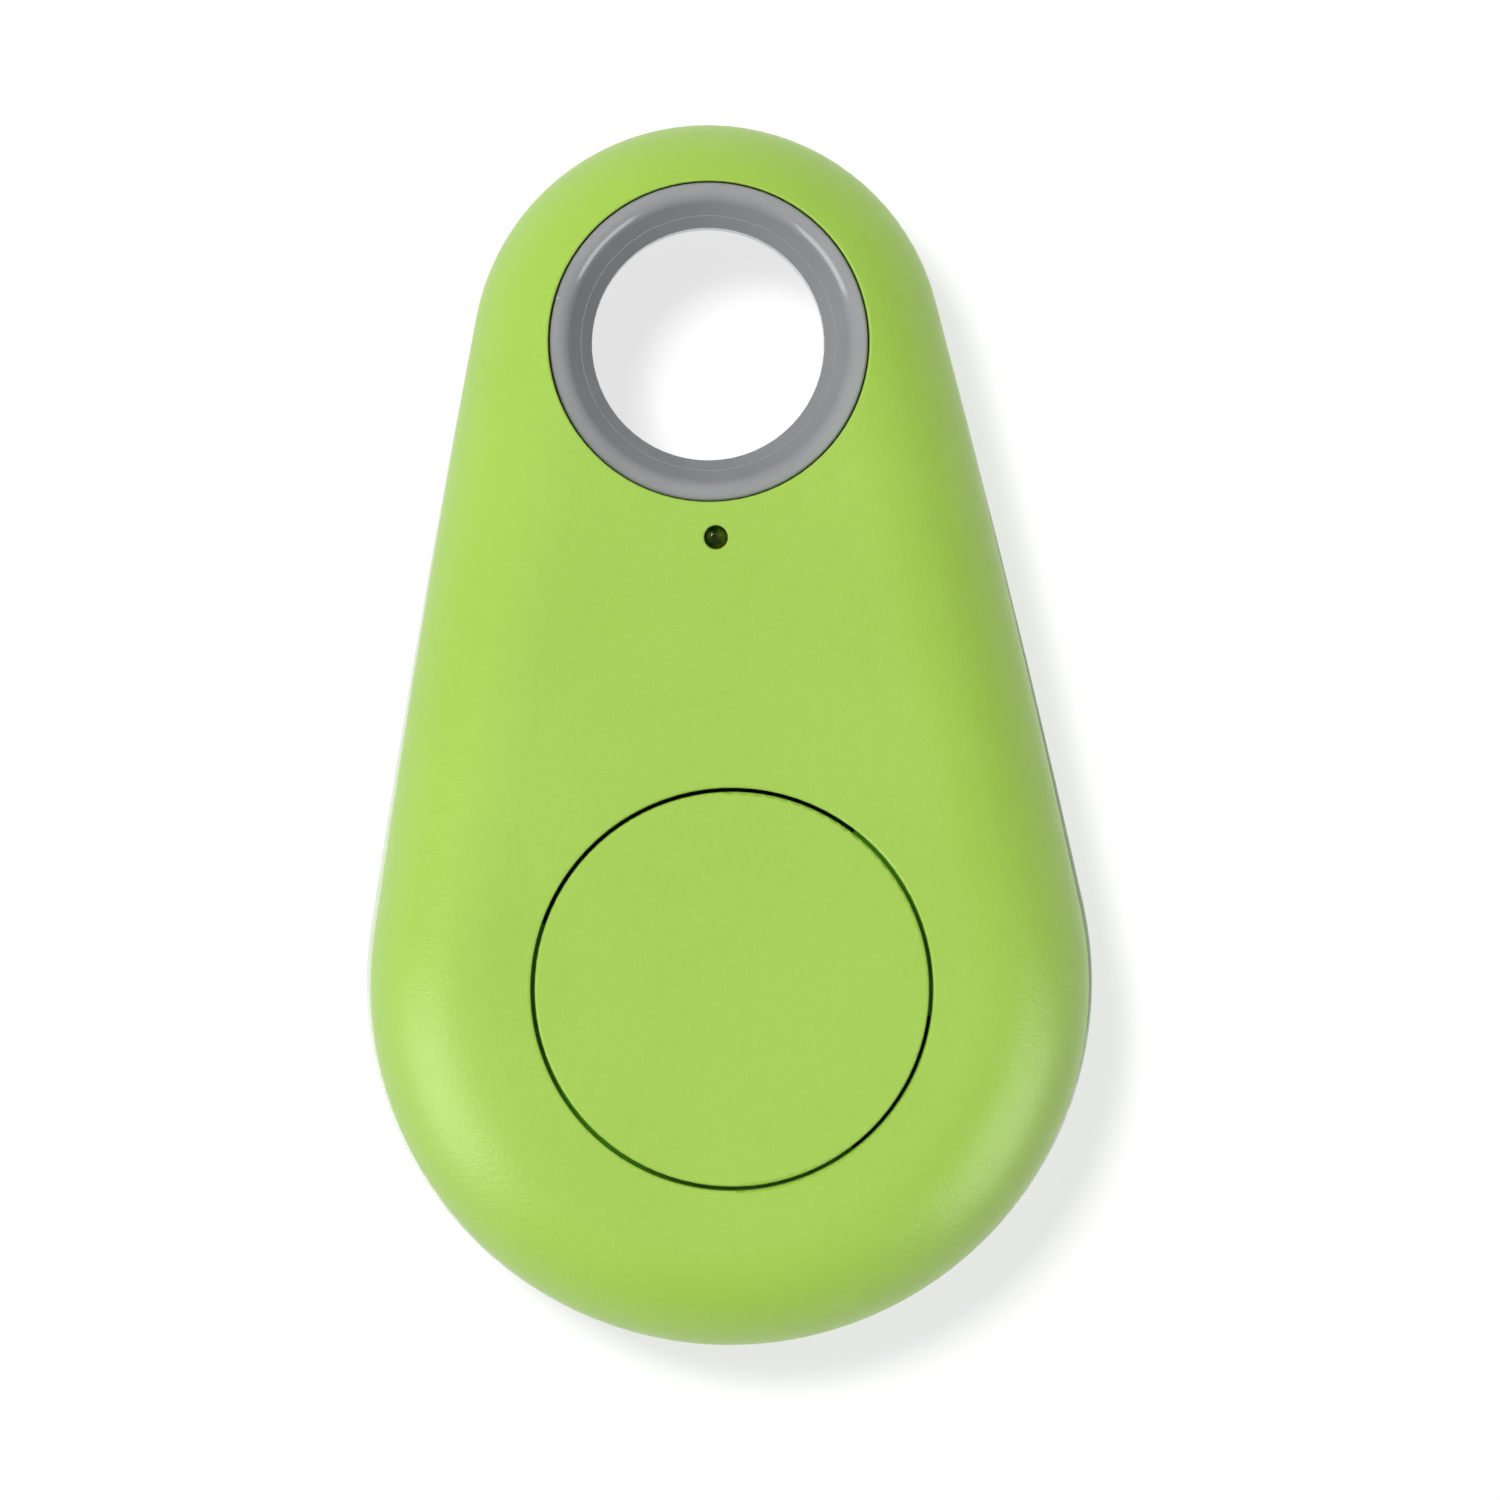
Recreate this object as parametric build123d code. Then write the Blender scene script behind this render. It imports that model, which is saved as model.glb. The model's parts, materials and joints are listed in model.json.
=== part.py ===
from build123d import *
from math import cos, hypot, radians, sin, sqrt
import os

# Pebble-shaped wireless tracker tag that hangs on a key ring, in millimetres.
#
# The tag lies on its back: the rear face is on Z = 0, the button faces +Z and the ring hole is at
# the +Y end. The outline is a teardrop, which is two circles joined by long shallow arcs tangent
# to both. The origin is the centre of the outline's box, on the rear face.

# ---- Driving dimensions: outline and covers ----
BASE_RADIUS = 15.4  # wide round end of the outline, centred on the button
HEAD_RADIUS = 10.1  # narrow round end, around the ring hole
SPAN = 26.8  # from the centre of the wide end to the centre of the narrow end
FLANK_RADIUS = 620.0  # the long arcs that join them, which bulge by about 0.13
THICKNESS = 11.0
WALL = 1.2
REAR_TOP = 4.6  # the rear cover ends here and the frame's visible band starts
FRONT_LOW = 5.4  # the front cover starts here
FRONT_ROUND = 5.2  # radius of the long rounding round the front face
REAR_ROUND = 3.4

# ---- Frame between the covers ----
FLANK_PROUD = 0.18  # how far the frame's band stands out of the covers beside the button
END_PROUD = 0.05  # at the wide end
HEAD_PROUD = 0.02  # and round the head
TONGUE_OUTSIDE, TONGUE_INSIDE = 1.3, 1.95  # depths inside the outline
LEDGE_INSIDE = 2.9  # depth that the board's ledge reaches
LEDGE_LOW = 4.7

# ---- Ring hole ----
RING_FROM_BUTTON = 27.4
EYELET_RADIUS = 6.73  # outside of the eyelet tube
EYELET_LOW, EYELET_HIGH = 0.3, 10.3
EYELET_BORE = 4.95
THROAT_LOW, THROAT_HIGH = 6.65, 8.25  # the bore is straight between these heights
FUNNEL_MOUTH, FUNNEL_ROUND = 6.13, 0.8  # radius where the front funnel meets the lip, and how round
DRAFT_MOUTH, DRAFT_ROUND = 5.55, 0.6  # the same at the rear, where the bore only has a mould's draft
EYELET_SLEEVE = 0.85  # wall of the covers' sleeves round the eyelet
FRONT_PLAY, REAR_PLAY = 0.07, 0.1  # gaps between the eyelet and the openings of the two covers

# ---- Button, switch and light ----
BUTTON_RADIUS = 8.34
BUTTON_GAP = 0.17
BUTTON_TRAVEL = 0.3
BUTTON_SKIRT = 8.65  # lowest point of the button's skirt
FLANGES = ((20, 60), (232, 146))  # middle and width, in degrees from +X, of the button's two flanges
FLANGE_PLAY = 5  # degrees between a flange's end and the collar's
SWITCH_SIDE, SWITCH_CORNER = 5.2, 0.5
SWITCH_HEIGHT, SWITCH_PLATE = 1.0, 0.18
PLUNGER_RADIUS = 1.12
LED_FROM_BUTTON = 19.1
LED_HOLE, PIPE_SOCKET = 0.5, 1.05  # radii of the small hole and of the light pipe's socket

# ---- Board and the two pins of the front cover that hold it ----
BOARD_LOW, BOARD_THICKNESS = 5.3, 1.0
STAKE_X, STAKE_FROM_BUTTON = 8.2, 13.0
STAKE_RADIUS, STAKE_PIN_RADIUS, STAKE_HEAD_RADIUS = 1.1, 0.6, 1.0

# ---- Coin cell, size 2032 ----
CELL_RADIUS, CELL_HEIGHT = 10.0, 3.2
CELL_LOW = 1.55
CELL_FROM_BUTTON = -2.7
CELL_SHEET = 0.3

# ---- Buzzer and its two springs: one on the brass rim, one on the ceramic ----
BUZZER_FROM_BUTTON = 13.7
BUZZER_RADIUS = 6.0
BUZZER_SEAT_TOP, BUZZER_LOW = 1.65, 1.75
BRASS, CERAMIC, SILVER = 0.2, 0.22, 0.03  # thicknesses of its layers
SPRING_X = (-5.25, 2.6)
SPRING_RADIUS, SPRING_WIRE, SPRING_TURNS = 0.6, 0.26, 4.5

# ---- Places worked out from them ----
BUTTON_Y = (BASE_RADIUS - HEAD_RADIUS - SPAN) / 2
HEAD_Y = BUTTON_Y + SPAN
RING_Y = BUTTON_Y + RING_FROM_BUTTON
LED_Y = BUTTON_Y + LED_FROM_BUTTON
STAKE_Y = BUTTON_Y + STAKE_FROM_BUTTON
CELL_Y = BUTTON_Y + CELL_FROM_BUTTON
BUZZER_Y = BUTTON_Y + BUZZER_FROM_BUTTON
CEILING = THICKNESS - WALL
BOARD_TOP = BOARD_LOW + BOARD_THICKNESS
CELL_TOP = CELL_LOW + CELL_HEIGHT
OPENING_RADIUS = BUTTON_RADIUS + BUTTON_GAP
COLLAR_LOW = CEILING - WALL
SWITCH_FLOOR = BOARD_TOP + 0.3
SWITCH_TOP = BOARD_TOP + SWITCH_HEIGHT
PLUNGER_TOP = SWITCH_TOP + 0.8
BLEND = 0.1  # how far joined features run into each other

UP = (Align.CENTER, Align.CENTER, Align.MIN)


# ---- Shapes used many times ----
def drum(radius, low, high, x=0.0, y=0.0):
    """Upright cylinder between two heights."""
    return Pos(x, y, low) * Cylinder(radius, high - low, align=UP)


def tube(outer, inner, low, high, x=0.0, y=0.0):
    """Upright tube between two heights."""
    return drum(outer, low, high, x, y) - drum(inner, low - 1, high + 1, x, y)


def block(width, length, low, high, x=0.0, y=0.0):
    """Upright box between two heights."""
    return Pos(x, y, low) * Box(width, length, high - low, align=UP)


def teardrop(growth=0.0, head_growth=None, pull=0.0):
    """Face of the outline, grown at its two ends, with its wide end's centre pulled inward."""
    base = BASE_RADIUS + growth
    head = HEAD_RADIUS + (growth if head_growth is None else head_growth)
    flank = FLANK_RADIUS + growth
    low, high = BUTTON_Y + pull, HEAD_Y
    to_base, to_head = flank - base, flank - head
    along = (to_base**2 - to_head**2 + (high - low) ** 2) / (2 * (high - low))
    aside = sqrt(to_base**2 - along**2)  # the flank's centre is this far across the tag's axis
    base_x, base_y = base * aside / to_base, low - base * along / to_base
    head_x, head_y = head * aside / to_head, high + head * (high - low - along) / to_head
    middle_x, middle_y = (base_x + head_x) / 2 + aside, (base_y + head_y) / 2 - low - along
    stretch = flank / hypot(middle_x, middle_y)
    bulge_x, bulge_y = middle_x * stretch - aside, middle_y * stretch + low + along
    edges = [
        ThreePointArc((-base_x, base_y), (0, low - base), (base_x, base_y)),
        ThreePointArc((base_x, base_y), (bulge_x, bulge_y), (head_x, head_y)),
        ThreePointArc((head_x, head_y), (0, high + head), (-head_x, head_y)),
        ThreePointArc((-head_x, head_y), (-bulge_x, bulge_y), (-base_x, base_y)),
    ]
    return make_face(Wire(edges))


def slab(low, high, growth=0.0):
    """The outline as a plate between two heights."""
    return Pos(0, 0, low) * extrude(teardrop(growth), high - low)


def pebble(low, high, growth, rounding, top):
    """A slab with its whole top or bottom edge rounded."""
    plate = slab(low, high, growth)
    rim = plate.edges().group_by(Axis.Z)[-1 if top else 0]
    return fillet(rim, rounding)


def band(low, high, outer_growth, inner_growth):
    """A wall that follows the outline."""
    return slab(low, high, outer_growth) - slab(low - 1, high + 1, inner_growth)


def sector(radius, middle, width, low, high, y):
    """A wedge of a drum, given in degrees, for cutting."""
    half = radians(width / 2)
    turn = radians(middle)
    reach = radius / cos(half)
    corners = [(0, 0)]
    corners += [(reach * cos(turn + s * half), reach * sin(turn + s * half)) for s in (-1, 1)]
    wedge = extrude(make_face(Polyline(*corners, close=True)), high - low)
    return Pos(0, y, low) * wedge


def edges_at(shape, height, radius, y):
    """Circular edges of one radius at one height, round the axis through (0, y)."""
    found = shape.edges().filter_by(GeomType.CIRCLE)
    found = found.filter_by(lambda e: abs(e.radius - radius) < 1e-3)
    found = found.filter_by(lambda e: abs(e.arc_center.Z - height) < 1e-3)
    return found.filter_by(lambda e: abs(e.arc_center.Y - y) < 1e-3 and abs(e.arc_center.X) < 1e-3)


# ---- Covers and frame ----
def stake(side):
    """Pin under the front cover that carries the board, its end melted over into a head."""
    x = side * STAKE_X
    post = drum(STAKE_RADIUS, BOARD_TOP, CEILING + BLEND, x, STAKE_Y)
    pin = drum(STAKE_PIN_RADIUS, BOARD_LOW - 0.3, BOARD_TOP + BLEND, x, STAKE_Y)
    head = drum(STAKE_HEAD_RADIUS, BOARD_LOW - 0.6, BOARD_LOW - 0.02, x, STAKE_Y)
    return post + pin + fillet(head.edges().group_by(Axis.Z)[0], 0.3)


def front_cover():
    """Front shell with the button's opening and collar, the ring hole and the board's pins."""
    hollow = pebble(FRONT_LOW - 1, CEILING, -WALL, FRONT_ROUND - WALL, top=True)
    shell = pebble(FRONT_LOW, THICKNESS, 0, FRONT_ROUND, top=True) - hollow

    collar = tube(OPENING_RADIUS + 0.8, OPENING_RADIUS, COLLAR_LOW, CEILING + BLEND, y=BUTTON_Y)
    for middle, width in FLANGES:
        collar -= sector(11, middle, width + 2 * FLANGE_PLAY, COLLAR_LOW - 0.6, CEILING, BUTTON_Y)
    shell += collar
    sleeve = tube(EYELET_RADIUS + EYELET_SLEEVE, EYELET_RADIUS, 8.4, CEILING + BLEND, y=RING_Y)
    shell += sleeve & hollow
    shell += tube(1.6, PIPE_SOCKET, COLLAR_LOW, CEILING + BLEND, y=LED_Y)
    for side in (-1, 1):
        shell += stake(side)

    shell -= drum(OPENING_RADIUS, 8, THICKNESS + 1, y=BUTTON_Y)
    shell -= drum(EYELET_RADIUS + FRONT_PLAY, 8, THICKNESS + 1, y=RING_Y)
    shell -= drum(PIPE_SOCKET, 8, CEILING, y=LED_Y)
    shell -= drum(LED_HOLE, 8, THICKNESS + 1, y=LED_Y)
    shell = fillet(edges_at(shell, THICKNESS, OPENING_RADIUS, BUTTON_Y), 0.12)
    shell = fillet(edges_at(shell, THICKNESS, EYELET_RADIUS + FRONT_PLAY, RING_Y), 0.08)
    return fillet(edges_at(shell, THICKNESS, LED_HOLE, LED_Y), 0.1)


def sound_holes():
    """Seven small holes under the buzzer, one in the middle and six round it."""
    hole, circle = 0.45, 2.1
    holes = drum(hole, -1, 3, y=BUZZER_Y)
    for turn in range(0, 360, 60):
        x, y = circle * cos(radians(turn)), circle * sin(radians(turn))
        holes += drum(hole, -1, 3, x, BUZZER_Y + y)
    return holes


def rear_cover():
    """Rear shell with the ring hole, the buzzer's sound holes and the slot for a coin."""
    hollow = pebble(WALL, REAR_TOP + 1, -WALL, REAR_ROUND - WALL, top=False)
    shell = pebble(0, REAR_TOP, 0, REAR_ROUND, top=False) - hollow

    floor = WALL - BLEND
    sleeve = tube(EYELET_RADIUS + EYELET_SLEEVE, EYELET_RADIUS, floor, 3.0, y=RING_Y)
    cell_rest = tube(7.2, 6.6, floor, CELL_LOW - 0.05, y=CELL_Y)
    buzzer_seat = tube(BUZZER_RADIUS, BUZZER_RADIUS - 1.0, floor, BUZZER_SEAT_TOP, y=BUZZER_Y)
    shell += sleeve & hollow
    shell += cell_rest
    shell += buzzer_seat & hollow
    fence = tube(CELL_RADIUS + 0.95, CELL_RADIUS + 0.35, floor, 2.2, y=CELL_Y)
    for angle in (-90, -30, 30, 150, 210):
        shell += fence & sector(12, angle, 26, 0, 3, CELL_Y) & hollow

    shell -= drum(EYELET_RADIUS + REAR_PLAY, -1, 5, y=RING_Y)
    shell -= sound_holes()
    shell -= block(6.0, 1.6, REAR_TOP - 0.55, REAR_TOP + 1, 0, BUTTON_Y - BASE_RADIUS)
    return shell


def eyelet():
    """Tube round the ring hole: a funnel in front, a short straight throat and a drafted rear bore."""
    bevel = 0.07
    seam_step, seam_rise = 0.02, 0.8  # a mould seam in the funnel, and its height above the throat
    slope = (FUNNEL_MOUTH - seam_step - EYELET_BORE) / (EYELET_HIGH - THROAT_HIGH)
    seam_x, seam_z = EYELET_BORE + slope * seam_rise, THROAT_HIGH + seam_rise
    corners = [
        (EYELET_RADIUS, EYELET_LOW + bevel),
        (EYELET_RADIUS - bevel, EYELET_LOW),
        (DRAFT_MOUTH, EYELET_LOW),
        (EYELET_BORE, THROAT_LOW),
        (EYELET_BORE, THROAT_HIGH),
        (seam_x, seam_z),
        (seam_x + seam_step, seam_z),
        (FUNNEL_MOUTH, EYELET_HIGH),
        (EYELET_RADIUS - bevel, EYELET_HIGH),
        (EYELET_RADIUS, EYELET_HIGH - bevel),
    ]
    profile = make_face(Polyline(*corners, close=True))
    lips = ((FUNNEL_MOUTH, EYELET_HIGH, FUNNEL_ROUND), (DRAFT_MOUTH, EYELET_LOW, DRAFT_ROUND))
    for x, z, rounding in lips:
        lip = profile.vertices().sort_by_distance((x, z, 0))[0]
        profile = fillet(lip, rounding)
    return Pos(0, RING_Y, 0) * revolve(Plane.XZ * profile, Axis.Z)


def middle_frame():
    """Frame between the covers: visible band, tongues, board ledge, web and eyelet in one."""
    rim_face = teardrop(FLANK_PROUD, HEAD_PROUD, FLANK_PROUD - END_PROUD)
    rim = Pos(0, 0, REAR_TOP) * extrude(rim_face, FRONT_LOW - REAR_TOP)
    outer_edges = rim.edges().group_by(Axis.Z)
    rim = fillet(outer_edges[0] + outer_edges[-1], 0.12)
    frame = rim - slab(0, THICKNESS, -TONGUE_INSIDE)
    frame += band(REAR_TOP - 1, FRONT_LOW + 0.8, -TONGUE_OUTSIDE, -TONGUE_INSIDE)
    ledge = band(LEDGE_LOW, BOARD_LOW, BLEND / 2 - TONGUE_INSIDE, -LEDGE_INSIDE)
    frame += ledge - drum(CELL_RADIUS + 0.35, 0, 9, y=CELL_Y)
    frame += drum(8.6, LEDGE_LOW, BOARD_LOW, y=RING_Y) & slab(4, 6, BLEND / 2 - TONGUE_INSIDE)
    frame -= drum(EYELET_RADIUS - BLEND, 0, THICKNESS, y=RING_Y)
    return frame + eyelet()


# ---- Button, switch and light ----
def button_cap():
    """Round button with a skirt, two flanges that keep it in and a nub over the switch."""
    disc = drum(BUTTON_RADIUS, CEILING - BLEND, THICKNESS - 0.03, y=BUTTON_Y)
    disc = fillet(disc.edges().group_by(Axis.Z)[-1], 0.14)
    cap = disc + tube(BUTTON_RADIUS, BUTTON_RADIUS - 0.8, BUTTON_SKIRT, CEILING, y=BUTTON_Y)
    low, high = CEILING - 0.62, CEILING - 0.02
    flange = tube(BUTTON_RADIUS + 1.0, BUTTON_RADIUS - BLEND, low, high, y=BUTTON_Y)
    for middle, width in FLANGES:
        cap += flange & sector(12, middle, width, 8, THICKNESS, BUTTON_Y)
    for turn in (0, 90):
        rib = block(2 * BUTTON_RADIUS - 1.2, 0.7, CEILING - 0.75, CEILING)
        cap += Pos(0, BUTTON_Y, 0) * Rot(0, 0, turn) * rib
    return cap + drum(1.5, PLUNGER_TOP + 0.02, CEILING, y=BUTTON_Y)


def switch_housing():
    """Base of the tactile switch, with the well that the dome lies in."""
    base = block(SWITCH_SIDE, SWITCH_SIDE, BOARD_TOP, SWITCH_TOP, 0, BUTTON_Y)
    base = chamfer(base.edges().filter_by(Axis.Z), SWITCH_CORNER)
    return base - drum(1.95, SWITCH_FLOOR, 8, y=BUTTON_Y)


def switch_plate():
    """Steel plate that closes the switch."""
    plate = block(SWITCH_SIDE, SWITCH_SIDE, SWITCH_TOP, SWITCH_TOP + SWITCH_PLATE, 0, BUTTON_Y)
    plate = chamfer(plate.edges().filter_by(Axis.Z), SWITCH_CORNER)
    return plate - drum(PLUNGER_RADIUS + 0.13, 7, 8, y=BUTTON_Y)


def switch_plunger():
    """Plunger that the button's nub pushes, with a flange that the plate keeps in."""
    stem = drum(PLUNGER_RADIUS, SWITCH_TOP - BLEND, PLUNGER_TOP, y=BUTTON_Y)
    stem = fillet(stem.edges().group_by(Axis.Z)[-1], 0.2)
    return stem + drum(1.7, SWITCH_TOP - 0.3, SWITCH_TOP - 0.03, y=BUTTON_Y)


def switch_dome():
    """Snap dome under the plunger, a thin spherical cap that rises by the button's travel."""
    rim, rise, sheet, low = 1.75, BUTTON_TRAVEL, 0.07, SWITCH_FLOOR + 0.02
    radius = (rim**2 + rise**2) / 2 / rise
    centre = low + sheet + rise - radius
    ball = Sphere(radius) - Sphere(radius - sheet)
    return (Pos(0, BUTTON_Y, centre) * ball) & drum(rim, low, 7.5, y=BUTTON_Y)


def switch_terminals():
    """The switch's four soldered feet."""
    spots = [(x, y) for x in (-2.95, 2.95) for y in (-1.85, 1.85)]
    return [block(0.7, 0.8, BOARD_TOP, BOARD_TOP + 0.18, x, BUTTON_Y + y) for x, y in spots]


def light_pipe():
    """Clear pin that carries the light up to the small hole."""
    pin = drum(LED_HOLE - 0.03, 7.1, 10.55, y=LED_Y)
    pin = fillet(pin.edges().group_by(Axis.Z)[-1], 0.3)
    return pin + drum(PIPE_SOCKET - 0.05, 8.9, CEILING - 0.02, y=LED_Y)


# ---- Circuit board: places on it are measured from the button's axis ----
def circuit_board():
    """Board that fills the frame and stops short of the eyelet."""
    end = BUTTON_Y + 22.5
    board = slab(BOARD_LOW, BOARD_TOP, -TONGUE_INSIDE - 0.2)
    board -= block(40, 40, 0, THICKNESS, 0, end + 20)
    board -= drum(EYELET_RADIUS + 0.3, 0, THICKNESS, y=RING_Y)
    for side in (-1, 1):
        board -= drum(STAKE_PIN_RADIUS + 0.05, 0, THICKNESS, side * STAKE_X, STAKE_Y)
    return board


def antenna_trace():
    """Meandered copper antenna on the board's left flank, as one strip."""
    width, reach, pitch, turns, copper = 0.35, 2.6, 0.9, 6, 0.05
    x, y = -7.4, BUTTON_Y + 15.6
    low, high = BOARD_TOP, BOARD_TOP + copper
    strip = block(width, 2.4, low, high, x + reach, y - 1.2 + width / 2)
    for n in range(turns):
        level = y + n * pitch
        strip += block(reach + width, width, low, high, x + reach / 2, level)
        if n < turns - 1:
            side = x if n % 2 == 0 else x + reach
            strip += block(width, pitch + width, low, high, side, level + pitch / 2)
    return strip


def chip(width, length, height, x, y, foot=0.0):
    """A moulded package standing on the board's front, its top edges bevelled."""
    body = block(width, length, BOARD_TOP + foot, BOARD_TOP + height, x, BUTTON_Y + y)
    return chamfer(body.edges().group_by(Axis.Z)[-1], min(0.1, height / 5))


def two_ended_chip(height, x, y):
    """A chip component 1.0 by 0.5: its middle and both metal ends as one solid."""
    width, length, pad, plating = 1.0, 0.5, 0.25, 0.02
    whole = chip(width - pad, length, height, x, y)
    for side in (-1, 1):
        end_x = x + side * (width - pad) / 2
        top = BOARD_TOP + height + plating
        whole += block(pad, length + 2 * plating, BOARD_TOP, top, end_x, BUTTON_Y + y)
    return whole


def chip_capacitors():
    """Ceramic capacitors round the radio chip and the battery supply."""
    by_chip = [(-3.4, 6.6), (-3.4, 11.9), (3.0, 6.4), (4.0, 8.6)]
    by_supply = [(-6.6, 5.6), (8.2, 3.2), (8.2, 1.8), (-8.4, -1.2)]
    return [two_ended_chip(0.5, x, y) for x, y in by_chip + by_supply]


def chip_resistors():
    """Resistors of the light, the buzzer driver and the switch."""
    spots = [(2.0, 15.9), (2.0, 17.0), (5.6, 14.4), (-6.6, 3.6), (-5.4, -6.4)]
    return [two_ended_chip(0.35, x, y) for x, y in spots]


def driver_transistor():
    """Three-legged transistor that drives the buzzer."""
    x, y = 7.2, 8.2
    body = chip(2.9, 1.3, 1.0, x, y, foot=0.1)
    legs = [(-0.95, -0.855), (0.95, -0.855), (0.0, 0.855)]
    for leg_x, leg_y in legs:
        body += block(0.4, 0.9, BOARD_TOP, BOARD_TOP + 0.2, x + leg_x, BUTTON_Y + y + leg_y)
    return body


# ---- Coin cell and its contacts ----
def cell_can():
    """Positive can of the coin cell, open towards the board."""
    can = drum(CELL_RADIUS, CELL_LOW, CELL_TOP - CELL_SHEET, y=CELL_Y)
    can = fillet(can.edges().group_by(Axis.Z)[0], 0.45)
    return can - drum(CELL_RADIUS - CELL_SHEET, CELL_LOW + CELL_SHEET, CELL_TOP, y=CELL_Y)


def cell_cap():
    """Negative cap of the coin cell, filling the can as the sealed contents do."""
    shoulder = CELL_TOP - 0.35
    cap = drum(8.8, shoulder, CELL_TOP, y=CELL_Y)
    cap = fillet(cap.edges().group_by(Axis.Z)[-1], 0.25)
    return cap + drum(CELL_RADIUS - 0.75, CELL_LOW + CELL_SHEET + 0.02, shoulder, y=CELL_Y)


def cell_gasket():
    """Insulating ring between the can and the cap."""
    outer, low = CELL_RADIUS - CELL_SHEET - 0.02, CELL_LOW + CELL_SHEET + 0.02
    wall = tube(outer, CELL_RADIUS - 0.73, low, CELL_TOP - CELL_SHEET, y=CELL_Y)
    return wall + tube(outer, 8.85, CELL_TOP - 0.33, CELL_TOP - 0.2, y=CELL_Y)


def bent_strip(points, thickness, width):
    """A strip of spring metal bent along points in X and Z, centred on Y = 0."""
    wire = FilletPolyline(*points, radius=thickness * 1.6)
    strip = make_face(offset(wire, thickness / 2, side=Side.BOTH))
    return extrude(Plane.XZ * strip, width / 2, both=True).solid()


def positive_contacts():
    """Two side springs, soldered under the board, that press on the can's rim."""
    bend = [(11.85, 5.17), (11.2, 5.17), (10.95, 2.6), (10.13, 3.3), (10.13, 4.2)]
    spring = bent_strip(bend, 0.2, 3.2)
    right = Pos(0, CELL_Y + 1.0, 0) * spring
    return [right, right.mirror(Plane.YZ)]


def negative_contact():
    """Leaf spring under the board that touches the cell's cap."""
    bend = [(-4.6, 5.2), (-2.4, 5.2), (-0.6, 4.85), (1.2, 4.85), (2.2, 5.1)]
    return Pos(0, CELL_Y, 0) * bent_strip(bend, 0.15, 3.0)


# ---- Buzzer ----
def buzzer_tape():
    """Adhesive ring that holds the buzzer on its seat."""
    low = BUZZER_SEAT_TOP + 0.01
    return tube(BUZZER_RADIUS - 0.05, BUZZER_RADIUS - 0.95, low, BUZZER_LOW, y=BUZZER_Y)


def buzzer_disc():
    """Brass disc of the buzzer."""
    return drum(BUZZER_RADIUS, BUZZER_LOW, BUZZER_LOW + BRASS, y=BUZZER_Y)


def buzzer_ceramic():
    """Ceramic layer of the buzzer."""
    low = BUZZER_LOW + BRASS
    return drum(4.4, low, low + CERAMIC, y=BUZZER_Y)


def buzzer_electrode():
    """Silver face of the ceramic."""
    low = BUZZER_LOW + BRASS + CERAMIC
    return drum(4.1, low, low + SILVER, y=BUZZER_Y)


def contact_spring(x, foot):
    """One coil spring between the board and the buzzer."""
    low, high = foot + SPRING_WIRE / 2, BOARD_LOW - SPRING_WIRE / 2 - 0.02
    path = Pos(x, BUZZER_Y, low) * Helix((high - low) / SPRING_TURNS, high - low, SPRING_RADIUS)
    section = (path ^ 0) * RegularPolygon(SPRING_WIRE / 2, 8)
    return sweep(section, path, is_frenet=True)


def contact_springs():
    """The two springs that carry the signal to the buzzer."""
    brass_top = BUZZER_LOW + BRASS + 0.04
    silver_top = brass_top + CERAMIC + SILVER
    return [contact_spring(x, foot) for x, foot in zip(SPRING_X, (brass_top, silver_top))]


PARTS = {
    "front_cover": front_cover,
    "rear_cover": rear_cover,
    "middle_frame": middle_frame,
    "button_cap": button_cap,
    "switch_housing": switch_housing,
    "switch_plate": switch_plate,
    "switch_plunger": switch_plunger,
    "switch_dome": switch_dome,
    "switch_terminals": switch_terminals,
    "light_pipe": light_pipe,
    "circuit_board": circuit_board,
    "antenna_trace": antenna_trace,
    "bluetooth_chip": lambda: chip(4.0, 4.0, 0.8, 0, 9.2),
    "timing_crystal": lambda: chip(3.2, 2.5, 0.75, 4.5, 12.0),
    "boost_inductor": lambda: chip(3.0, 3.0, 1.2, -7.0, 9.2),
    "status_led": lambda: chip(1.6, 0.8, 0.6, 0, LED_FROM_BUTTON),
    "driver_transistor": driver_transistor,
    "chip_capacitors": chip_capacitors,
    "chip_resistors": chip_resistors,
    "cell_can": cell_can,
    "cell_gasket": cell_gasket,
    "cell_cap": cell_cap,
    "positive_contacts": positive_contacts,
    "negative_contact": negative_contact,
    "buzzer_tape": buzzer_tape,
    "buzzer_disc": buzzer_disc,
    "buzzer_ceramic": buzzer_ceramic,
    "buzzer_electrode": buzzer_electrode,
    "contact_springs": contact_springs,
}


def main():
    """Writes one STEP file for each part."""
    os.makedirs("parts", exist_ok=True)
    for name, make in PARTS.items():
        shape = make()
        if isinstance(shape, list):
            shape = Compound([piece.solid() for piece in shape])
        export_step(shape, f"parts/{name}.step")


main()
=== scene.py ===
"""Looks of the key-ring tracker tag: materials, the switch's dome, floor, lights and camera.

Lengths are in metres, except in the materials, where they are in millimetres.
"""
import json
from math import cos, pi, radians, sin

import bpy
from mathutils import Matrix, Vector

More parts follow.
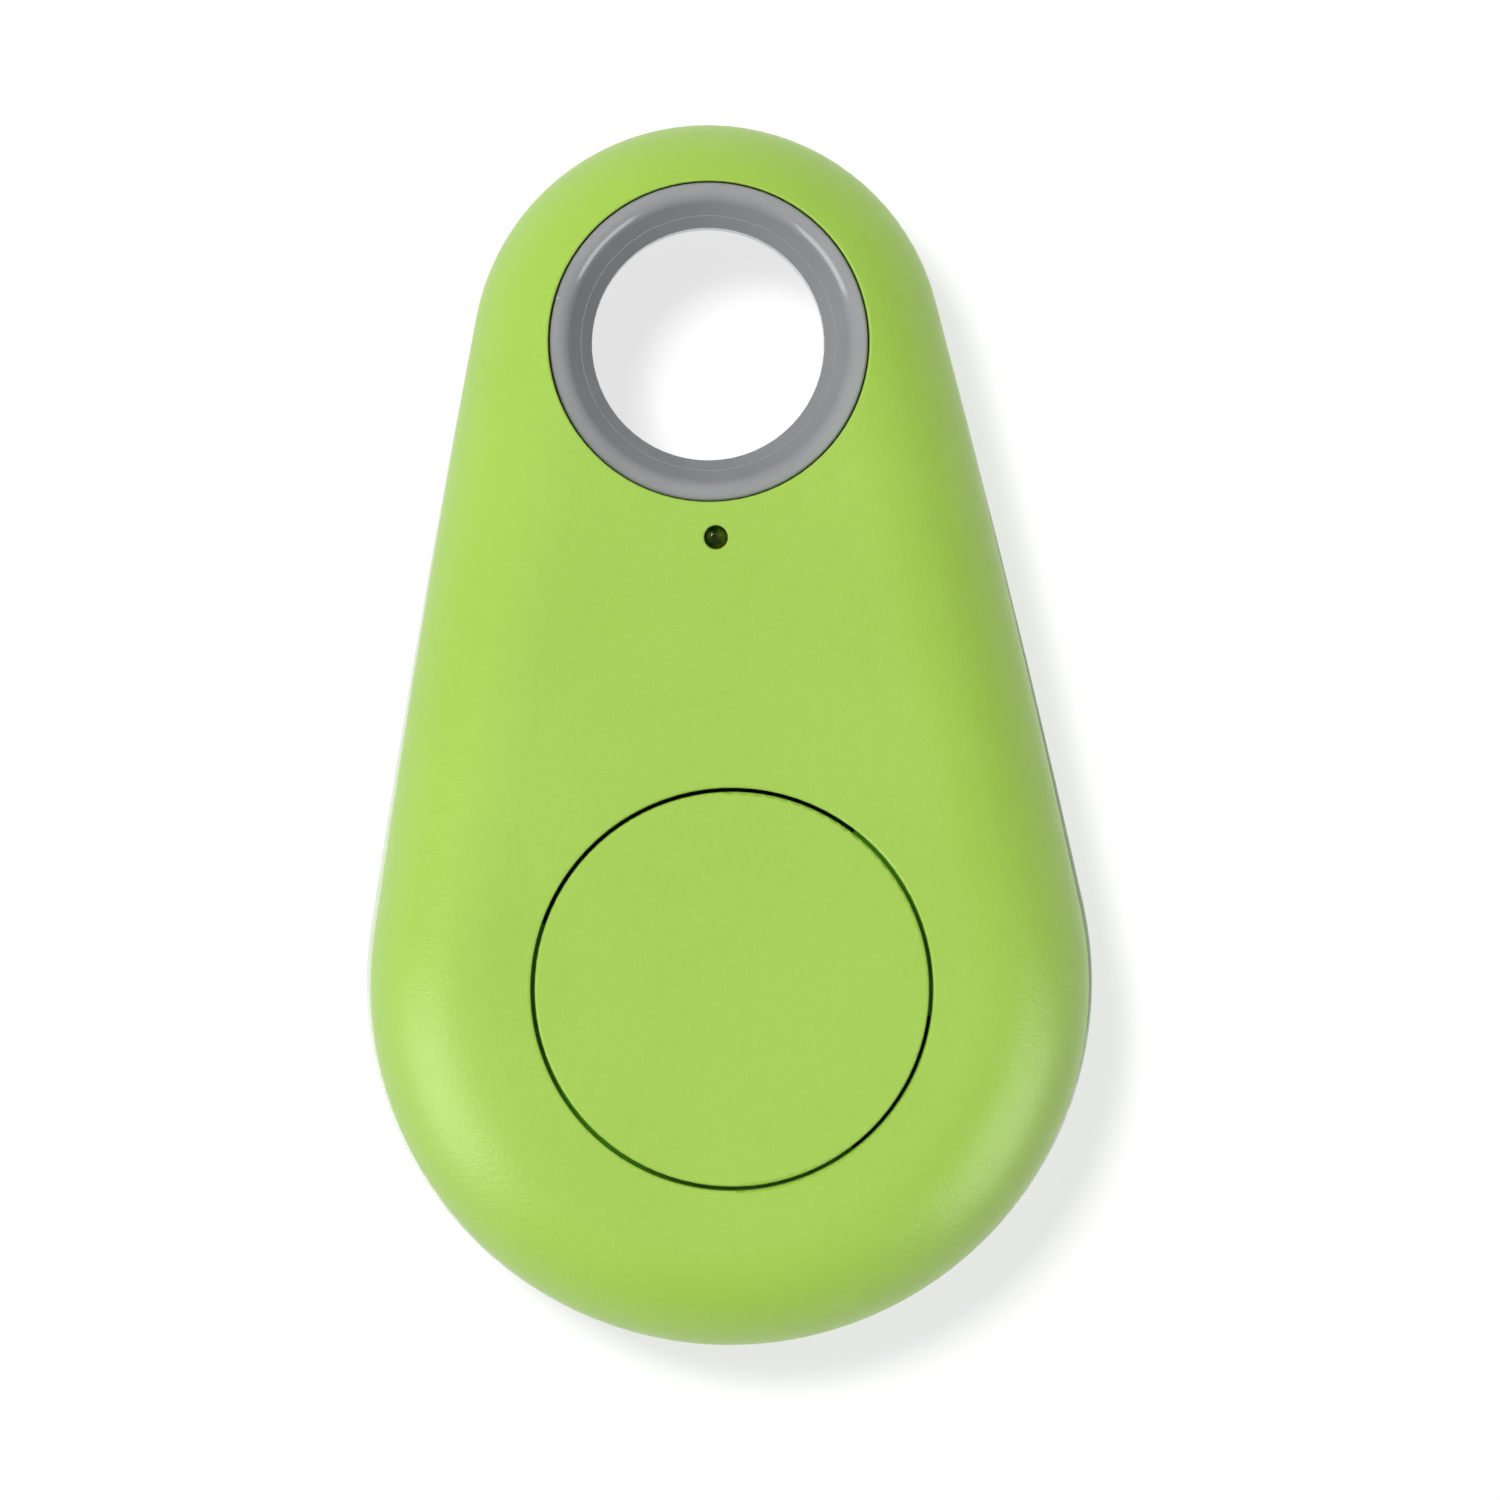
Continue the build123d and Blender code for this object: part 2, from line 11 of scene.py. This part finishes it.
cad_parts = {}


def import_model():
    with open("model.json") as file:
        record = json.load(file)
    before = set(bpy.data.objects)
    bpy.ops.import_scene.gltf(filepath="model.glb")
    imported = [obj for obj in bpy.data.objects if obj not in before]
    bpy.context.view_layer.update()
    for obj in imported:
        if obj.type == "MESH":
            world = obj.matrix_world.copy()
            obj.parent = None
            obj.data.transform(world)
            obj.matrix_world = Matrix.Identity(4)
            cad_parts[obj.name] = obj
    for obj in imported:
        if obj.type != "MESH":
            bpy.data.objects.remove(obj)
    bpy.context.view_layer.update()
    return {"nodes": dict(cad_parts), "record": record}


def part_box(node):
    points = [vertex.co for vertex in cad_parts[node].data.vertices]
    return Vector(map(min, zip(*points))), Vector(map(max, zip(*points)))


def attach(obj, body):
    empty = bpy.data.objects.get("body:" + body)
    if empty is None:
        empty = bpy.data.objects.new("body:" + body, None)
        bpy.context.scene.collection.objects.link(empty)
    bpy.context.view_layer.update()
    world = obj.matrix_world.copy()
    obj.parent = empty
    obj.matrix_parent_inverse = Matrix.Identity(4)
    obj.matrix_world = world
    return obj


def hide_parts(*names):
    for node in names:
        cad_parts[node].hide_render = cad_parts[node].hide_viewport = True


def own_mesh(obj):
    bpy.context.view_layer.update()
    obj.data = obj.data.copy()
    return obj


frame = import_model()
nodes = frame["nodes"]
MM = 0.001

# ---- Places taken from the frame ----
RING = Vector(next(m for m in frame["record"]["mounts"] if m["name"] == "key_ring_hole")["pos_m"])
BUTTON = sum(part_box("switch_plunger"), Vector()) / 2
EYELET_REACH = 8.0  # mm: nearer to the ring's axis than this, the middle frame is the grommet; farther out, its band is painted paler as painted light
GAP_SHADE_REACH = 9.5  # mm: nearer to the button's axis than this, the gap's depths get painted shade, a dark green
GAP_FLOOR, SKIRT_LOW = 9.9, 8.65  # mm above the rear face: over the flanges, and the skirt's end; the painted shade lies between them
RUN_PITCHES, RUN_SHIFT = 5, 7.0  # a conductor's length in pitches, and each row's greatest shift


# ---- Node helpers ----
class Shader:
    """A material being built: a Principled shader, and short ways to add nodes in front of it."""

    def __init__(self, name):
        self.material = bpy.data.materials.new(name)
        self.material.use_nodes = True
        self.tree = self.material.node_tree
        self.tree.nodes.clear()
        self.output = self.add("ShaderNodeOutputMaterial")
        self.surface = self.add("ShaderNodeBsdfPrincipled")
        self.link(self.surface.outputs["BSDF"], self.output.inputs["Surface"])
        place = self.add("ShaderNodeTexCoord")
        scale = self.add("ShaderNodeVectorMath", operation="SCALE")
        scale.inputs["Scale"].default_value = 1 / MM
        self.link(place.outputs["Object"], scale.inputs[0])
        self.mm = scale.outputs[0]  # position on the object, in millimetres

    def add(self, kind, **settings):
        node = self.tree.nodes.new(kind)
        for key, value in settings.items():
            setattr(node, key, value)
        return node

    def link(self, start, end):
        self.tree.links.new(start, end)

    def feed(self, value, socket):
        """Puts a number, a colour or another node's output on a socket."""
        if isinstance(value, bpy.types.NodeSocket):
            self.link(value, socket)
        elif hasattr(value, "__len__") and len(value) == 3 and len(socket.default_value) == 4:
            socket.default_value = (*value, 1.0)
        else:
            socket.default_value = value

    def set(self, **values):
        """Sets sockets of the Principled shader, with underscores for spaces."""
        for key, value in values.items():
            self.feed(value, self.surface.inputs[key.replace("_", " ")])

    def noise(self, size, detail=2.0, rough=0.5, where=None):
        """Noise whose lumps are about size millimetres across."""
        node = self.add("ShaderNodeTexNoise")
        node.inputs["Scale"].default_value = 1 / size
        node.inputs["Detail"].default_value = detail
        node.inputs["Roughness"].default_value = rough
        self.link(where or self.mm, node.inputs["Vector"])
        return node.outputs["Fac"]

    def cells(self, size, feature="F1"):
        """Random cells about size millimetres across. Distances come out in cells."""
        node = self.add("ShaderNodeTexVoronoi", feature=feature)
        node.inputs["Scale"].default_value = 1 / size
        self.link(self.mm, node.inputs["Vector"])
        return node

    def math(self, operation, a, b=0.0):
        node = self.add("ShaderNodeMath", operation=operation)
        self.feed(a, node.inputs[0])
        self.feed(b, node.inputs[1])
        return node.outputs[0]

    def ramp(self, value, low, high, to_low=0.0, to_high=1.0):
        """Maps value from low..high to to_low..to_high, clamped."""
        node = self.add("ShaderNodeMapRange")
        self.feed(value, node.inputs["Value"])
        numbers = (low, high, to_low, to_high)
        for key, number in zip(("From Min", "From Max", "To Min", "To Max"), numbers):
            node.inputs[key].default_value = number
        return node.outputs["Result"]

    def mix(self, share, first, second):
        """Mixes two colours."""
        node = self.add("ShaderNodeMix", data_type="RGBA")
        first_colour, second_colour = node.inputs[6:8]
        self.feed(share, node.inputs["Factor"])
        self.feed(first, first_colour)
        self.feed(second, second_colour)
        return node.outputs[2]

    def bump(self, height, depth, strength=1.0, under=None):
        """Bump of a depth in millimetres, over another bump if one is given."""
        node = self.add("ShaderNodeBump")
        node.inputs["Strength"].default_value = strength
        node.inputs["Distance"].default_value = depth * MM
        self.feed(height, node.inputs["Height"])
        if under is not None:
            self.link(under, node.inputs["Normal"])
        return node.outputs["Normal"]

    def reach(self, axis):
        """Distance from an upright line through a point, in millimetres."""
        off = self.add("ShaderNodeVectorMath", operation="SUBTRACT")
        self.link(self.mm, off.inputs[0])
        off.inputs[1].default_value = axis / MM
        flat = self.add("ShaderNodeVectorMath", operation="MULTIPLY")
        self.link(off.outputs[0], flat.inputs[0])
        flat.inputs[1].default_value = (1, 1, 0)
        length = self.add("ShaderNodeVectorMath", operation="LENGTH")
        self.link(flat.outputs[0], length.inputs[0])
        return length.outputs["Value"]

    def random(self, *parts):
        """A random number from 0 to 1 for one or two whole numbers."""
        join = self.add("ShaderNodeCombineXYZ")
        for part, socket in zip(parts, join.inputs):
            self.feed(part, socket)
        noise = self.add("ShaderNodeTexWhiteNoise", noise_dimensions="2D")
        self.link(join.outputs[0], noise.inputs["Vector"])
        return noise.outputs["Value"]

    def runs(self, along, across, pitch, width, share):
        """1 on straight conductors along one axis, in rows a pitch apart cut into random runs."""
        rows = self.math("DIVIDE", across, pitch)
        row = self.math("FLOOR", rows)
        aside = self.math("ABSOLUTE", self.math("SUBTRACT", self.math("FRACT", rows), 0.5))
        shift = self.math("MULTIPLY", self.random(row), RUN_SHIFT)
        length = pitch * RUN_PITCHES
        block = self.math("FLOOR", self.math("ADD", self.math("DIVIDE", along, length), shift))
        chosen = self.math("LESS_THAN", self.random(row, block), share)
        return self.math("MULTIPLY", chosen, self.math("LESS_THAN", aside, width / pitch / 2))

    def facing(self, name):
        """How far the true surface points along an axis of the object."""
        geometry = self.add("ShaderNodeNewGeometry")
        split = self.add("ShaderNodeSeparateXYZ")
        self.link(geometry.outputs["True Normal"], split.inputs[0])
        return split.outputs[name]


def dress(material, *names):
    """Puts one material on every slot of some CAD nodes."""
    for name in names:
        for slot in nodes[name].material_slots:
            slot.material = material


# ---- Materials that show when the tag is closed ----
COVER_GREEN = (0.415, 0.680, 0.094)
COVER_DEEP = (0.398, 0.655, 0.085)
COVER_MOTTLE = (0.438, 0.702, 0.110)
PAINTED_GAP_SHADE = (0.09, 0.38, 0.004)  # painted shade: the button's flanges and skirt, down in its gap, turn this dark green
SPECK_GREEN = (0.10, 0.17, 0.03)
SPECK_CELL, SPECK_REACH, SPECK_SHARE = 3.1, 0.022, 0.16  # mm, radius in cells, cells with a speck
GRAIN_SIZE, PIT_SIZE, GRAIN_DEPTH = 0.2, 0.15, 0.024  # mm


def cover_plastic():
    """Green plastic moulded in a spark-eroded tool: even grain, faint flow marks, specks, and
    painted shade in the button's gap.
    """
    s = Shader("cover_plastic")
    height = s.add("ShaderNodeSeparateXYZ")
    s.link(s.mm, height.inputs[0])
    # Painted shade: near the button, between the skirt's end and the height over the flanges, the
    # green turns dark as if shaded in the gap.
    below = s.ramp(height.outputs["Z"], GAP_FLOOR, GAP_FLOOR + 0.25, 1.0, 0.0)
    above = s.ramp(height.outputs["Z"], SKIRT_LOW - 0.3, SKIRT_LOW)
    near = s.ramp(s.reach(BUTTON), GAP_SHADE_REACH, GAP_SHADE_REACH + 0.2, 1.0, 0.0)
    gap_shade = s.math("MULTIPLY", near, s.math("MULTIPLY", below, above))
    flow = s.noise(9.0, 3.0, 0.55)
    mottle = s.noise(0.9, 3.0, 0.6)
    tone = s.mix(s.ramp(flow, 0.35, 0.65), COVER_DEEP, COVER_GREEN)
    tone = s.mix(s.ramp(mottle, 0.3, 0.75, 0.0, 0.16), tone, COVER_MOTTLE)
    specks = s.cells(SPECK_CELL)
    speck = s.math("LESS_THAN", specks.outputs["Distance"], SPECK_REACH)
    rare = s.add("ShaderNodeSeparateColor")
    s.link(specks.outputs["Color"], rare.inputs[0])
    chosen = s.math("MULTIPLY", speck, s.math("LESS_THAN", rare.outputs[0], SPECK_SHARE))
    tone = s.mix(s.math("MULTIPLY", chosen, 0.55), tone, SPECK_GREEN)
    tone = s.mix(gap_shade, tone, PAINTED_GAP_SHADE)
    grain = s.noise(GRAIN_SIZE, 2.0, 0.6)
    pits = s.cells(PIT_SIZE, "SMOOTH_F1")
    relief = s.math("ADD", grain, s.math("MULTIPLY", pits.outputs["Distance"], 0.5))
    fine = s.bump(relief, GRAIN_DEPTH, 0.8)
    swell = s.bump(flow, 0.03, 0.25, under=fine)
    s.set(Base_Color=tone, Roughness=s.ramp(mottle, 0.3, 0.7, 0.35, 0.41), Normal=swell)
    s.set(IOR=1.42)
    return s.material


FRAME_GREY = (0.345, 0.355, 0.365)
FRAME_PALE = (0.370, 0.382, 0.392)
# Painted light: the band between the covers is painted paler than the grommet's grey, for the
# light the thin band catches
PAINTED_LIGHT_BAND_WHITE = (0.76, 0.82, 0.70)
PAINTED_LIGHT_BAND_PALE = (0.80, 0.85, 0.74)
DUST_WHITE = (0.75, 0.76, 0.76)
DUST_CELL, DUST_REACH, DUST_SHARE = 1.3, 0.035, 0.22  # mm, radius in cells, cells with a fleck


def frame_plastic():
    """Smooth grey plastic with dust and smears, painted paler as painted light in the thin band
    between the covers.
    """
    s = Shader("frame_plastic")
    # Painted light: outside the grommet, the band takes a paler copy of the grey
    outside = s.ramp(s.reach(RING), EYELET_REACH, EYELET_REACH + 0.6)
    cloud = s.noise(2.4, 3.0, 0.55)
    grey = s.mix(s.ramp(cloud, 0.35, 0.7), FRAME_GREY, FRAME_PALE)
    painted_light_band = s.mix(s.ramp(cloud, 0.35, 0.7), PAINTED_LIGHT_BAND_WHITE, PAINTED_LIGHT_BAND_PALE)
    dust = s.cells(DUST_CELL)
    fleck = s.math("LESS_THAN", dust.outputs["Distance"], DUST_REACH)
    pick = s.add("ShaderNodeSeparateColor")
    s.link(dust.outputs["Color"], pick.inputs[0])
    fleck = s.math("MULTIPLY", fleck, s.math("LESS_THAN", pick.outputs[0], DUST_SHARE))
    tone = s.mix(outside, grey, painted_light_band)
    tone = s.mix(s.math("MULTIPLY", fleck, 0.7), tone, DUST_WHITE)
    smear = s.noise(0.7, 4.0, 0.65)
    ripple = s.bump(smear, 0.004, 0.35)
    s.set(Base_Color=tone, Roughness=s.ramp(smear, 0.35, 0.75, 0.11, 0.20), Normal=ripple)
    s.set(IOR=1.55)
    return s.material


# Painted shade and painted glints, in patches over the pipe's end
PIPE_PAINTED_SHADE, PIPE_PAINTED_GLINT = (0.05, 0.12, 0.004), (0.34, 0.52, 0.03)


def clear_plastic():
    """Clear acrylic of the light pipe: finely frosted, with patches of painted glint and painted
    shade.
    """
    s = Shader("clear_plastic")
    haze = s.noise(0.12, 2.0, 0.5)
    patch = s.noise(0.42, 1.0, 0.4)
    # Painted glints and painted shade: noise patches switch the pipe's tint between dark and light
    s.set(Base_Color=s.mix(s.ramp(patch, 0.42, 0.58), PIPE_PAINTED_SHADE, PIPE_PAINTED_GLINT))
    s.set(Roughness=s.ramp(haze, 0.3, 0.7, 0.05, 0.16), Transmission_Weight=0.85, IOR=1.49)
    s.set(Normal=s.bump(haze, 0.010, 0.6))
    return s.material


# ---- Materials inside ----
MASK_DARK, MASK_LIGHT = (0.010, 0.085, 0.032), (0.016, 0.115, 0.045)
TRACE_GREEN = (0.035, 0.200, 0.075)
VIA_GOLD, VIA_HOLE_SHADE = (0.62, 0.50, 0.26), (0.02, 0.02, 0.02)
EDGE_DARK, EDGE_LIGHT = (0.42, 0.37, 0.20), (0.56, 0.50, 0.30)
VIA_CELL = 1.9  # mm


def board_laminate():
    """Green solder mask over traces on the two faces, woven glass laminate on the sawn edge."""
    s = Shader("board_laminate")
    place = s.add("ShaderNodeSeparateXYZ")
    s.link(s.mm, place.inputs[0])
    x, y = place.outputs["X"], place.outputs["Y"]
    side = s.ramp(s.math("ABSOLUTE", s.facing("Z")), 0.4, 0.6, 1.0, 0.0)
    slant = s.math("ADD", x, y)
    trace = s.math("MAXIMUM", s.runs(x, y, 0.62, 0.16, 0.42), s.runs(y, x, 0.86, 0.16, 0.36))
    trace = s.math("MAXIMUM", trace, s.runs(s.math("SUBTRACT", x, y), slant, 2.3, 0.18, 0.3))
    vias = s.cells(VIA_CELL)
    ring = s.ramp(vias.outputs["Distance"], 0.075, 0.095, 1.0, 0.0)
    hole = s.ramp(vias.outputs["Distance"], 0.032, 0.04, 1.0, 0.0)
    cloud = s.noise(5.0, 3.0)
    mask = s.mix(cloud, MASK_DARK, MASK_LIGHT)
    tone = s.mix(trace, mask, TRACE_GREEN)
    tone = s.mix(ring, tone, VIA_GOLD)
    # Painted shade: each via's hole is painted near black
    tone = s.mix(hole, tone, VIA_HOLE_SHADE)
    weave = s.noise(0.3, 2.0)
    edge = s.mix(weave, EDGE_DARK, EDGE_LIGHT)
    height = s.math("SUBTRACT", trace, hole)
    s.set(Base_Color=s.mix(side, tone, edge), Normal=s.bump(height, 0.02, 0.5))
    s.set(Roughness=s.ramp(cloud, 0.3, 0.7, 0.24, 0.34), IOR=1.52)
    return s.material


BRUSH_STRETCH = (0.05, 1, 1)  # brush marks are 20 times longer along X
PATCH_GRAINS = 60  # a patch of tarnish, in grains


def metal(name, light, dark, rough, grain, depth, brushed=False, tarnish=None):
    """Bare metal with a fine grain, brushed along X if asked, and tarnish in patches."""
    s = Shader(name)
    where = s.mm
    if brushed:
        stretch = s.add("ShaderNodeVectorMath", operation="MULTIPLY")
        s.link(s.mm, stretch.inputs[0])
        stretch.inputs[1].default_value = BRUSH_STRETCH
        where = stretch.outputs[0]
    fine = s.noise(grain, 3.0, 0.6, where=where)
    patch = s.noise(grain * PATCH_GRAINS, 3.0)
    tone = s.mix(fine, dark, light)
    if tarnish is not None:
        tone = s.mix(s.ramp(patch, 0.5, 0.8, 0.0, 0.3), tone, tarnish)
    s.set(Base_Color=tone, Metallic=1.0)
    s.set(Roughness=s.ramp(patch, 0.3, 0.7, rough * 0.8, rough * 1.25))
    s.set(Normal=s.bump(fine, depth, 0.4))
    return s.material


def moulded(name, light, dark, rough, grain, depth):
    """Filled resin or ceramic: a mottled tone and a fine cast surface."""
    s = Shader(name)
    fine = s.noise(grain, 3.0, 0.6)
    patch = s.noise(grain * 9, 2.0)
    tone = s.mix(s.ramp(fine, 0.3, 0.7), dark, light)
    s.set(Base_Color=tone, Roughness=s.ramp(patch, 0.3, 0.7, rough * 0.85, rough * 1.15))
    s.set(Normal=s.bump(fine, depth, 0.5))
    return s.material


def dress_all():
    """Gives every CAD node its material."""
    dress(cover_plastic(), "front_cover", "rear_cover", "button_cap")
    dress(frame_plastic(), "middle_frame")
    dress(clear_plastic(), "light_pipe")
    dress(board_laminate(), "circuit_board")
    dress(metal("copper", (0.86, 0.50, 0.30), (0.76, 0.40, 0.22), 0.3, 0.05, 0.004,
                tarnish=(0.45, 0.22, 0.12)), "antenna_trace")
    dress(moulded("black_resin", (0.030, 0.030, 0.033), (0.018, 0.018, 0.020), 0.5, 0.06, 0.006),
          "switch_housing", "bluetooth_chip", "driver_transistor")
    dress(moulded("ferrite", (0.075, 0.072, 0.070), (0.045, 0.043, 0.042), 0.55, 0.10, 0.012),
          "boost_inductor")
    dress(moulded("resistor_glaze", (0.035, 0.036, 0.040), (0.022, 0.022, 0.026),
                  0.28, 0.08, 0.003), "chip_resistors")
    dress(moulded("capacitor_ceramic", (0.52, 0.38, 0.24), (0.42, 0.29, 0.18), 0.4, 0.08, 0.004),
          "chip_capacitors")
    dress(moulded("white_resin", (0.82, 0.80, 0.70), (0.74, 0.72, 0.62), 0.35, 0.10, 0.003),
          "switch_plunger", "status_led")
    dress(metal("nickel_plating", (0.78, 0.77, 0.75), (0.66, 0.65, 0.63), 0.24, 0.05, 0.003,
                brushed=True, tarnish=(0.50, 0.48, 0.44)),
          "cell_can", "cell_cap", "timing_crystal", "switch_plate", "switch_terminals")
    dress(metal("spring_steel", (0.72, 0.71, 0.70), (0.58, 0.57, 0.56), 0.28, 0.04, 0.003),
          "switch_dome", "positive_contacts", "negative_contact", "contact_springs")
    dress(moulded("seal_plastic", (0.040, 0.040, 0.045), (0.022, 0.022, 0.026), 0.45, 0.12, 0.006),
          "cell_gasket")
    dress(moulded("tape_adhesive", (0.78, 0.76, 0.68), (0.66, 0.64, 0.56), 0.6, 0.10, 0.010),
          "buzzer_tape")
    dress(metal("brass_sheet", (0.86, 0.66, 0.32), (0.74, 0.54, 0.24), 0.26, 0.05, 0.003,
                brushed=True, tarnish=(0.48, 0.32, 0.14)), "buzzer_disc")
    dress(moulded("piezo_ceramic", (0.80, 0.77, 0.64), (0.70, 0.67, 0.54), 0.55, 0.12, 0.006),
          "buzzer_ceramic")
    dress(metal("silver_film", (0.90, 0.89, 0.86), (0.78, 0.77, 0.74), 0.38, 0.08, 0.006,
                tarnish=(0.60, 0.56, 0.48)), "buzzer_electrode")


# ---- The switch's dome, a thin sheet built in place of its CAD node ----
DOME_SHEET = 0.07 * MM  # thickness of the steel
DOME_RINGS, DOME_SPOKES = 14, 48


def dome():
    """Thin snap dome that rises from a flat rim to a rounded top."""
    low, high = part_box("switch_dome")
    centre = (low + high) / 2
    radius = (high.x - low.x) / 2
    rise = high.z - low.z - DOME_SHEET
    rings, spokes = DOME_RINGS, DOME_SPOKES
    points, faces = [], []
    for lift in (DOME_SHEET, 0.0):
        for ring in range(1, rings + 1):
            share = ring / rings
            height = low.z + lift + rise * (cos(pi * share) + 1) / 2
            for spoke in range(spokes):
                turn = 2 * pi * spoke / spokes
                side = Vector((cos(turn), sin(turn), 0)) * radius * share
                points.append((centre.x + side.x, centre.y + side.y, height))
    layer = rings * spokes
    for spoke in range(spokes):
        after = (spoke + 1) % spokes
        for ring in range(rings - 1):
            a, b = ring * spokes, (ring + 1) * spokes
            faces.append((a + spoke, b + spoke, b + after, a + after))
            under = (a + after, b + after, b + spoke, a + spoke)
            faces.append(tuple(layer + corner for corner in under))
        edge = (rings - 1) * spokes
        faces.append((edge + spoke, layer + edge + spoke, layer + edge + after, edge + after))
    faces.append(tuple(range(spokes)))
    faces.append(tuple(reversed(range(layer, layer + spokes))))
    mesh = bpy.data.meshes.new("snap_dome")
    mesh.from_pydata(points, [], faces)
    mesh.shade_smooth()
    piece = bpy.data.objects.new("snap_dome", mesh)
    bpy.context.scene.collection.objects.link(piece)
    mesh.materials.append(nodes["switch_dome"].material_slots[0].material)
    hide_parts("switch_dome")
    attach(piece, "front_half")
    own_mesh(piece)


# ---- Stage ----
# Azimuth and elevation in degrees, then distance, width and height in metres, and radiance
SHADE = (135, 67, 0.6, 0.13, 0.13, 69)
KEY = (135, 67, 0.6, 0.13, 0.13, 28.0)
SIDE = (203, 58, 0.5, 0.5, 0.5, 0.95)
FRONT = (200, 84, 0.5, 0.4, 0.4, 1.15)
LEFT_BOX = (204, 21, 0.109, 0.066, 0.084, 4.4)
RIGHT_BOX = (326, 18, 0.099, 0.062, 0.070, 4.2)
WORLD_LIGHT = 0.20
AIM = Vector((0, 0, 0.006))  # near the tag's middle

ROLL = radians(2.03)
EYE_DISTANCE = 0.335
WIDEST = 0.0054  # height of the outline's widest level
FRAMING = Vector((1.245, -0.64)) * MM  # from the tag's centre to the picture's, right and up
SIDEWAYS = -6.4 * MM  # the lens stands this far left of the picture's centre
SENSOR, LENS = 36, 187.3  # mm

FLOOR_REACH = 0.9  # from its middle to each side
FLOOR_DROP = 0.03 * MM  # below the rear face, so that the two don't flicker
PAPER_DARK, PAPER_LIGHT = (0.29, 0.29, 0.29), (0.31, 0.31, 0.31)
PAPER_GLOW = 0.712


def floor():
    """White paper. Most of its white is its own glow, so that the shadow on it stays pale."""
    mesh = bpy.data.meshes.new("floor")
    signs = ((-1, -1), (1, -1), (1, 1), (-1, 1))
    corners = [(x * FLOOR_REACH, y * FLOOR_REACH, -FLOOR_DROP) for x, y in signs]
    mesh.from_pydata(corners, [], [(0, 1, 2, 3)])
    plane = bpy.data.objects.new("floor", mesh)
    bpy.context.scene.collection.objects.link(plane)
    s = Shader("floor_paper")
    s.set(Base_Color=s.mix(s.noise(40.0, 2.0), PAPER_DARK, PAPER_LIGHT), Roughness=0.7)
    s.set(Specular_IOR_Level=0.0, Emission_Color=(1.0, 1.0, 1.0), Emission_Strength=PAPER_GLOW)
    mesh.materials.append(s.material)
    return plane


def world(strength):
    """Even white light from all round."""
    made = bpy.data.worlds.new("studio")
    bpy.context.scene.world = made
    made.use_nodes = True
    back = made.node_tree.nodes["Background"]
    back.inputs["Color"].default_value = (1.0, 1.0, 1.0, 1.0)
    back.inputs["Strength"].default_value = strength


def softbox(name, azimuth, elevation, distance, width, height, radiance):
    """Area light aimed at AIM, unseen by the camera. Azimuth runs from +X towards +Y.

    Angles are in degrees, and radiance is in W/sr/m2.
    """
    lamp = bpy.data.lights.new(name, "AREA")
    lamp.shape = "RECTANGLE"
    lamp.size = width
    lamp.size_y = height
    lamp.energy = radiance * pi * width * height
    around, up = radians(azimuth), radians(elevation)
    towards = Vector((cos(up) * cos(around), cos(up) * sin(around), sin(up)))
    box = bpy.data.objects.new(name, lamp)
    box.location = AIM + towards * distance
    box.rotation_euler = towards.to_track_quat("Z", "Y").to_euler()
    box.visible_camera = False
    bpy.context.scene.collection.objects.link(box)
    return box


def limit(lamp, piece, state):
    """Makes a lamp light only one object (INCLUDE) or everything else (EXCLUDE)."""
    lit = bpy.data.collections.new(lamp.name + "_lights")
    lit.objects.link(piece)
    lit.collection_objects[0].light_linking.link_state = state
    lamp.light_linking.receiver_collection = lit


def camera():
    """Almost straight above the tag, rolled so that the ring end leans a little to the left."""
    right = Vector((cos(ROLL), -sin(ROLL), 0))
    up = Vector((sin(ROLL), cos(ROLL), 0))
    target = right * FRAMING.x + up * FRAMING.y + Vector((0, 0, WIDEST))
    place = target + right * SIDEWAYS + Vector((0, 0, EYE_DISTANCE))
    back = (place - target).normalized()
    across = up.cross(back).normalized()
    over = back.cross(across)
    data = bpy.data.cameras.new("camera")
    data.sensor_width, data.lens = SENSOR, LENS
    data.clip_start, data.clip_end = 0.01, 10
    eye = bpy.data.objects.new("camera", data)
    turn = Matrix((across, over, back)).transposed()
    eye.matrix_world = Matrix.Translation(place) @ turn.to_4x4()
    bpy.context.scene.collection.objects.link(eye)
    bpy.context.scene.camera = eye


def studio():
    """One lamp for the floor, three for everything else, and two boxes for highlights only."""
    paper = floor()
    world(WORLD_LIGHT)
    limit(softbox("shade", *SHADE), paper, "INCLUDE")
    for lamp in (softbox("key", *KEY), softbox("side", *SIDE), softbox("front", *FRONT)):
        lamp.visible_glossy = False
        limit(lamp, paper, "EXCLUDE")
    softbox("left_box", *LEFT_BOX).visible_diffuse = False
    softbox("right_box", *RIGHT_BOX).visible_diffuse = False
    camera()
    bpy.context.scene.view_settings.view_transform = "Standard"


dress_all()
dome()
studio()
